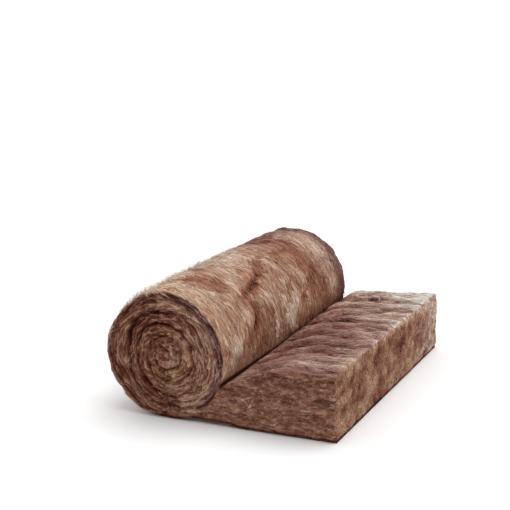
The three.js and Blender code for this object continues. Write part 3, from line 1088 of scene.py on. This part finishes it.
def add_tuft_map(mesh, template, faces, count):
    """A map with one small cell for each tuft, its sides unrolled next to each other."""
    cells = math.ceil(math.sqrt(count))
    corner = template[faces]
    turn = np.arctan2(corner[:, :, 1], corner[:, :, 0]) / (2 * math.pi) % 1
    at_point = np.hypot(corner[:, :, 0], corner[:, :, 1]) < SAME
    turn = np.where(at_point, np.nan, turn)
    wraps = (np.nanmax(turn, 1) - np.nanmin(turn, 1) > 0.5)[:, None]
    turn = np.where(wraps & (turn < 0.5), turn + 1, turn)
    turn = np.where(at_point, np.nanmean(turn, 1)[:, None], turn)
    inside = np.stack([turn / 1.5, corner[:, :, 2]], axis=2) * 0.8 + 0.1
    index = np.arange(count)
    origin = np.column_stack([index % cells, index // cells])
    places = (origin[:, None, None] + inside[None]) / cells
    layer = mesh.uv_layers.new(name="OFBake")
    layer.uv.foreach_set("vector", places.astype(np.float32).ravel())


# Operators


made = {}  # what one operator leaves for the next: the sculpted surface


class WOOLROLL_OT_blanket(bpy.types.Operator):
    """Sculpts the wool blanket over its CAD solid"""

    bl_idname = "woolroll.blanket"
    bl_label = "Sprung Wool"

    def execute(self, context):
        shape, colours = context.scene.wool_roll_shape, context.scene.wool_roll_colours
        body = plain_blanket(shape)
        mesh = body.data
        wool = Wool(*mesh_points(mesh), shape)
        sculpt_blanket(mesh, wool)
        finish_wool(mesh, shade_wool(wool), wool.fibre)
        material = wool_material("combed_wool", colours, grain_share=0.50, relief_height=0.004)
        mesh.materials.append(material)
        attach(body, BODY)
        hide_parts(NODE)
        made["surface"] = WoolSurface(mesh, wool)
        return {"FINISHED"}


class WOOLROLL_OT_tufts(bpy.types.Operator):
    """Lays loose tufts of fibre on every side of the wool"""

    bl_idname = "woolroll.tufts"
    bl_label = "Loose Tufts"

    def execute(self, context):
        sizes, colours = context.scene.wool_roll_tufts, context.scene.wool_roll_colours
        surface = made["surface"]
        material = wool_material("loose_fibre", colours, grain_share=0.40, relief_height=0.0008)
        open_wool = surface.wool.wound.room > NIP_ROOM
        for seed, (name, weight, lay) in enumerate(tuft_rows(surface.wool)):
            piece = lay_tufts(name, Tufts(surface, weight * open_wool, lay, sizes, seed))
            piece.data.materials.append(material)
            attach(piece, BODY)
        return {"FINISHED"}


class WOOLROLL_OT_stage(bpy.types.Operator):
    """Sets the pale floor, the soft studio light and the camera"""

    bl_idname = "woolroll.stage"
    bl_label = "Studio Stage"

    def execute(self, context):
        stage = context.scene.wool_roll_stage
        pale_floor(stage)
        studio_light()
        studio_world()
        set_camera(stage)
        context.scene.view_settings.view_transform = "Standard"
        return {"FINISHED"}


# The stage


FLOOR_REACH = 30
LIGHTS = (  # their names, their strengths and where they come from
    ("softbox", 2.2, Vector((0.30, 0.22, 0.90))),
    ("rim_light", 1.1, Vector((-0.60, 0.62, 0.50))),
)
LIGHT_SPREAD = math.radians(60)
WHITE = (1, 1, 1, 1)
AMBIENT = 0.80  # how strongly the surround lights the wool
SENSOR_WIDTH = 36


def pale_floor(stage):
    bm = bmesh.new()
    bmesh.ops.create_grid(bm, x_segments=1, y_segments=1, size=FLOOR_REACH)
    floor = piece_of(bm, "floor")
    material = bpy.data.materials.new("pale_floor")
    tree = NodeTree(material)
    tone = tree.mix("MIX", tree.seen_share(), (*stage.floor, 1), (*stage.floor_seen, 1))
    matt = tree.add("BsdfDiffuse", {"Color": tone})
    tree.add("OutputMaterial", {"Surface": matt["BSDF"]})
    floor.data.materials.append(material)


def studio_light():
    """A broad soft light, high over the tail and a little behind it, and a weaker one from
    behind on the left."""
    for name, strength, towards in LIGHTS:
        light = bpy.data.lights.new(name, "SUN")
        light.energy = strength
        light.angle = LIGHT_SPREAD
        lamp = placed(name, light)
        lamp.matrix_world = towards.to_track_quat("Z", "Y").to_matrix().to_4x4()


def studio_world():
    """A white surround, which the camera sees brighter than it lights the wool."""
    world = bpy.data.worlds.new("studio")
    bpy.context.scene.world = world
    tree = NodeTree(world)
    ambient = tree.add("Background", {"Color": WHITE, "Strength": AMBIENT})
    seen = tree.add("Background", {"Color": WHITE})
    feeds = {"Fac": tree.seen_share(), 1: ambient["Background"], 2: seen["Background"]}
    tree.add("OutputWorld", {"Surface": tree.add("MixShader", feeds)["Shader"]})


def set_camera(stage):
    data = bpy.data.cameras.new("camera")
    data.lens = stage.lens
    data.sensor_width = SENSOR_WIDTH
    camera = placed("camera", data)
    turn = Matrix.Rotation(stage.camera_turn, 4, "Z")
    drop = Matrix.Rotation(math.pi / 2 - stage.camera_drop, 4, "X")
    lean = Matrix.Rotation(stage.camera_roll, 4, "Z")
    camera.matrix_world = Matrix.Translation(stage.camera_place) @ turn @ drop @ lean
    bpy.context.scene.camera = camera


# The panel, and what registers everything


class WOOLROLL_PT_panel(bpy.types.Panel):
    """Lists the roll's pieces and its sizes and colours"""

    bl_label = "Wool Roll"
    bl_idname = "WOOLROLL_PT_panel"
    bl_space_type = "VIEW_3D"
    bl_region_type = "UI"
    bl_category = "Wool Roll"

    def draw(self, context):
        for operator in OPERATORS:
            self.layout.operator(operator.bl_idname)
        for name in SETTINGS:
            group = getattr(context.scene, name)
            box = self.layout.box()
            for key in group.__annotations__:
                box.prop(group, key)


OPERATORS = (WOOLROLL_OT_blanket, WOOLROLL_OT_tufts, WOOLROLL_OT_stage)
SETTINGS = {
    "wool_roll_shape": WoolShape,
    "wool_roll_tufts": TuftSizes,
    "wool_roll_colours": WoolColours,
    "wool_roll_stage": StageSettings,
}


def register():
    for group in (*SETTINGS.values(), *OPERATORS, WOOLROLL_PT_panel):
        bpy.utils.register_class(group)
    for name, group in SETTINGS.items():
        setattr(bpy.types.Scene, name, PointerProperty(type=group))


def unregister():
    for name in SETTINGS:
        delattr(bpy.types.Scene, name)
    for group in (WOOLROLL_PT_panel, *reversed(OPERATORS), *SETTINGS.values()):
        bpy.utils.unregister_class(group)


def main():
    register()
    bpy.ops.woolroll.blanket()
    bpy.ops.woolroll.tufts()
    bpy.ops.woolroll.stage()


if __name__ == "__main__":
    main()
